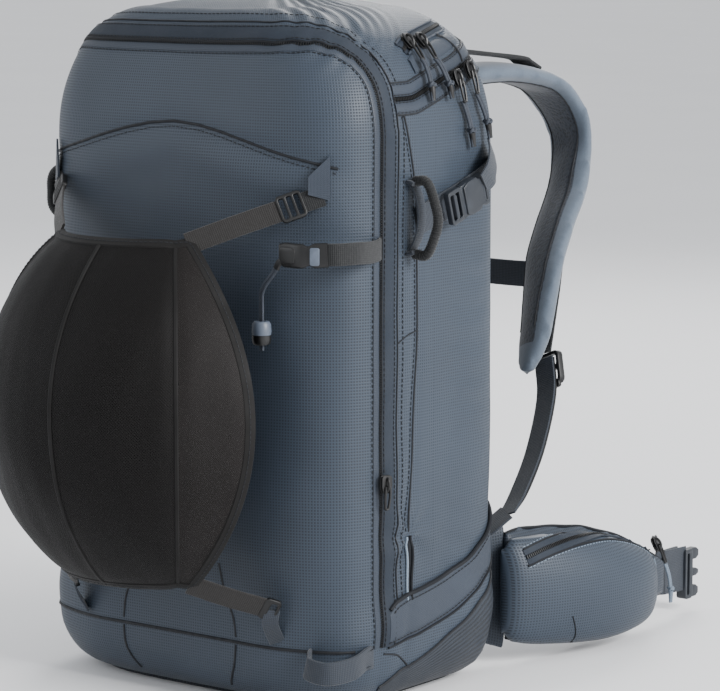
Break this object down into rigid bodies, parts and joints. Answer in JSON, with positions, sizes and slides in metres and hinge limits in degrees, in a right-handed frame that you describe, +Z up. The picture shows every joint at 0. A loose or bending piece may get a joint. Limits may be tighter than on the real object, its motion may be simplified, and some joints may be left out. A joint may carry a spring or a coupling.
{
  "type": "ski backpack",
  "caption": "Ski touring backpack with domed helmet net, hinged lid, fold-down front panel, axe holders, padded shoulder straps and hip belt with pocket.",
  "frame": {"origin": "middle of the flat base, on the surface the pack stands on", "axes": "+Z up, +X across the pack towards the side with the hip pocket, -Y the outer side with the helmet net, +Y the wearer's side"},
  "size_m": [0.3684, 0.6023, 0.49],
  "materials": {
    "pack_fabric": "ripstop weave, satin",
    "dark_fabric": "dense twill, matt",
    "pad_fabric": "brushed knit, matt",
    "webbing": "woven nylon",
    "black_plastic": "moulded acetal, satin",
    "buckle_plastic": "moulded acetal, satin",
    "net_mesh": "fine stretch mesh",
    "net_webbing": "woven nylon",
    "cord": "braided cord",
    "loop_tube": "ribbed woven tube",
    "alloy": "bent rod, satin",
    "frame_board": "extruded sheet"
  },
  "bodies": {
    "pack": {"main_shell": "pack_fabric", "base_panel": "dark_fabric", "front_gusset": "pack_fabric", "frame_sheet": "frame_board", "frame_stay": "alloy", "tool_sleeve": "dark_fabric", "back_pad_left": "dark_fabric", "back_pad_right": "dark_fabric", "lumbar_pad": "dark_fabric", "compression_strap_left": "webbing", "compression_strap_right": "webbing", "axe_loop": "webbing"},
    "lid": {"lid": "pack_fabric"},
    "front_panel": {"front_panel": "pack_fabric", "axe_keeper_strap": "black_plastic"},
    "helmet_net": {"helmet_net": "net_mesh", "net_strap_top_left": "net_webbing", "net_strap_top_right": "net_webbing", "net_strap_bottom_left": "net_webbing", "net_strap_bottom_right": "net_webbing", "net_hook_top_left": "black_plastic", "net_hook_top_right": "black_plastic"},
    "keeper_clip": {"axe_keeper_clip": "black_plastic", "axe_keeper_cord": "cord"},
    "cord_lock": {"cord_lock": "buckle_plastic"},
    "lid_slider_front": {"lid_slider_front": "black_plastic", "lid_pull_front": "cord"},
    "lid_slider_back": {"lid_slider_back": "black_plastic", "lid_pull_back": "cord"},
    "pocket_slider_front": {"pocket_slider_front": "black_plastic", "pocket_pull_front": "cord"},
    "pocket_slider_back": {"pocket_slider_back": "black_plastic", "pocket_pull_back": "cord"},
    "front_slider": {"front_slider": "black_plastic"},
    "haul_handle": {"haul_handle": "webbing"},
    "gear_loop_left": {"gear_loop_left": "loop_tube"},
    "gear_loop_right": {"gear_loop_right": "loop_tube"},
    "compression_buckle_left": {"compression_buckle_left": "buckle_plastic"},
    "compression_buckle_right": {"compression_buckle_right": "buckle_plastic"},
    "shoulder_left": {"shoulder_pad_left": "pad_fabric", "load_lifter_left": "dark_fabric", "lower_strap_left": "webbing", "strap_adjuster_left": "buckle_plastic", "sternum_strap_left": "webbing", "sternum_buckle_left": "buckle_plastic"},
    "shoulder_right": {"shoulder_pad_right": "pad_fabric", "load_lifter_right": "dark_fabric", "lower_strap_right": "webbing", "strap_adjuster_right": "buckle_plastic", "sternum_strap_right": "webbing", "sternum_buckle_right": "buckle_plastic"},
    "hip_left": {"hip_fin_left": "dark_fabric", "hip_strap_left": "webbing", "hip_buckle_left": "buckle_plastic"},
    "hip_right": {"hip_fin_right": "dark_fabric", "hip_strap_right": "webbing", "hip_buckle_right": "buckle_plastic", "hip_pocket_right": "pack_fabric"},
    "hip_slider": {"hip_slider": "black_plastic", "hip_pull": "cord"}
  },
  "joints": [
    {"name": "lid_open", "type": "hinge", "parent": "pack", "child": "lid", "pos_m": [0, -0.0455, 0.4885], "axis": [1, 0, 0], "range_deg": [0, 95]},
    {"name": "panel_fold", "type": "hinge", "parent": "pack", "child": "front_panel", "pos_m": [0, -0.11, 0.045], "axis": [1, 0, 0], "range_deg": [0, 60]},
    {"name": "net_fold", "type": "hinge", "parent": "front_panel", "child": "helmet_net", "pos_m": [0, -0.112, 0.072], "axis": [1, 0, 0], "range_deg": [0, 60]},
    {"name": "keeper_open", "type": "hinge", "parent": "front_panel", "child": "keeper_clip", "pos_m": [0.148, -0.117, 0.322], "axis": [0, 0, 1], "range_deg": [0, 70]},
    {"name": "cord_lock_slide", "type": "slide", "parent": "keeper_clip", "child": "cord_lock", "axis": [0, 0, 1], "range_m": [0, 0.01]},
    {"name": "lid_zip_front", "type": "slide", "parent": "pack", "child": "lid_slider_front", "axis": [0, 0.963, 0.2696], "range_m": [-0.008, 0.006]},
    {"name": "lid_zip_back", "type": "slide", "parent": "pack", "child": "lid_slider_back", "axis": [0, 0.963, 0.2696], "range_m": [-0.004, 0.01]},
    {"name": "pocket_zip_front", "type": "slide", "parent": "lid", "child": "pocket_slider_front", "axis": [0, 1, 0], "range_m": [-0.025, 0.002]},
    {"name": "pocket_zip_back", "type": "slide", "parent": "lid", "child": "pocket_slider_back", "axis": [0, 1, 0], "range_m": [-0.002, 0.006]},
    {"name": "front_zip", "type": "slide", "parent": "pack", "child": "front_slider", "axis": [0, 0, 1], "range_m": [-0.08, 0.2]},
    {"name": "haul_swing", "type": "hinge", "parent": "pack", "child": "haul_handle", "pos_m": [0, 0.097, 0.418], "axis": [-1, 0, 0], "range_deg": [-8, 36]},
    {"name": "gear_loop_swing_left", "type": "hinge", "parent": "pack", "child": "gear_loop_left", "pos_m": [-0.145, -0.028, 0.341], "axis": [0, 0, 1], "range_deg": [-45, 45]},
    {"name": "gear_loop_swing_right", "type": "hinge", "parent": "pack", "child": "gear_loop_right", "pos_m": [0.145, -0.028, 0.341], "axis": [0, 0, 1], "range_deg": [-45, 45]},
    {"name": "compression_slide_left", "type": "slide", "parent": "pack", "child": "compression_buckle_left", "axis": [0, 0.954, 0.2999], "range_m": [-0.012, 0.016]},
    {"name": "compression_slide_right", "type": "slide", "parent": "pack", "child": "compression_buckle_right", "axis": [0, 0.954, 0.2999], "range_m": [-0.012, 0.016]},
    {"name": "shoulder_swing_left", "type": "hinge", "parent": "pack", "child": "shoulder_left", "pos_m": [-0.052, 0.099, 0.405], "axis": [0.2471, -0.0065, 0.969], "range_deg": [0, 28]},
    {"name": "shoulder_swing_right", "type": "hinge", "parent": "pack", "child": "shoulder_right", "pos_m": [0.052, 0.099, 0.405], "axis": [0.2471, 0.0065, -0.969], "range_deg": [0, 28]},
    {"name": "hip_swing_left", "type": "hinge", "parent": "pack", "child": "hip_left", "pos_m": [-0.128, 0.108, 0.05], "axis": [0, 0, 1], "range_deg": [-60, 35]},
    {"name": "hip_swing_right", "type": "hinge", "parent": "pack", "child": "hip_right", "pos_m": [0.128, 0.108, 0.05], "axis": [0, 0, 1], "range_deg": [-35, 60]},
    {"name": "hip_zip", "type": "slide", "parent": "hip_right", "child": "hip_slider", "axis": [0.0501, -0.9314, 0.3605], "range_m": [0, 0.012]}
  ]
}
